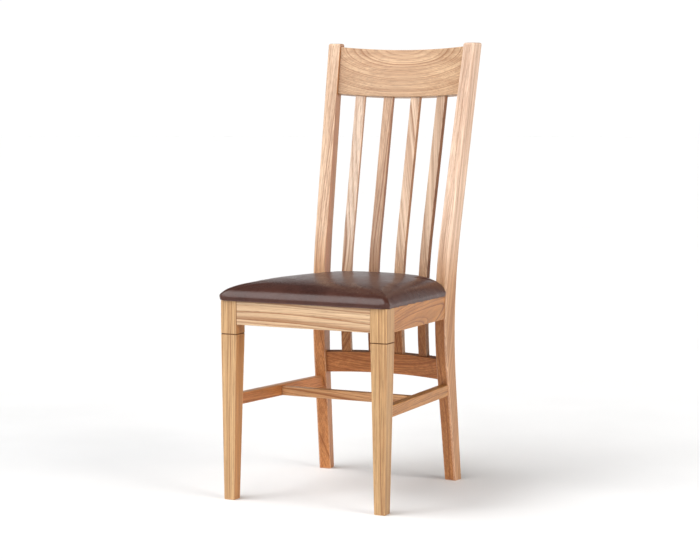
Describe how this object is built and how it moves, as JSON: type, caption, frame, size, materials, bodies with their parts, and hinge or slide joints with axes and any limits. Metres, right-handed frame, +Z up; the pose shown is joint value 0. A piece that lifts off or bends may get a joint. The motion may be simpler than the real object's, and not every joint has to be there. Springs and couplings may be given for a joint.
{
  "type": "dining chair",
  "caption": "Oak dining chair with a high raked slatted back, curved crest rail, tapered grooved front legs, stretchers and a dark brown leather drop-on seat.",
  "frame": {"origin": "on the floor, at the middle of the overall box's footprint", "axes": "+Z up, -Y the way the sitter faces, +X the right side of somebody facing the chair"},
  "size_m": [0.4212, 0.5604, 1.032],
  "materials": {
    "oak": "satin lacquer over straight-grained oak",
    "block_oak": "sawn, unfinished",
    "leather": "smooth dark brown leather, soft gloss",
    "plywood": "raw plywood",
    "foam": "open-cell foam",
    "dust_cloth": "black non-woven cloth",
    "steel": "zinc-plated"
  },
  "bodies": {
    "root": {"front_leg_left": "oak", "front_leg_right": "oak", "rear_post_left": "oak", "rear_post_right": "oak", "front_seat_rail": "oak", "side_seat_rail_left": "oak", "side_seat_rail_right": "oak", "rear_seat_rail": "oak", "crest_rail": "oak", "lower_back_rail": "oak", "back_slat_1": "oak", "back_slat_2": "oak", "back_slat_3": "oak", "back_slat_4": "oak", "side_stretcher_left": "oak", "side_stretcher_right": "oak", "cross_stretcher": "oak", "corner_block_front_left": "block_oak", "corner_block_front_right": "block_oak", "corner_block_rear_left": "block_oak", "corner_block_rear_right": "block_oak", "corner_block_screws": "steel", "seat_board": "plywood", "seat_foam": "foam", "seat_cover": "leather", "dust_cover": "dust_cloth", "seat_screws": "steel", "cover_staples": "steel", "dust_cover_staples": "steel"}
  },
  "joints": []
}
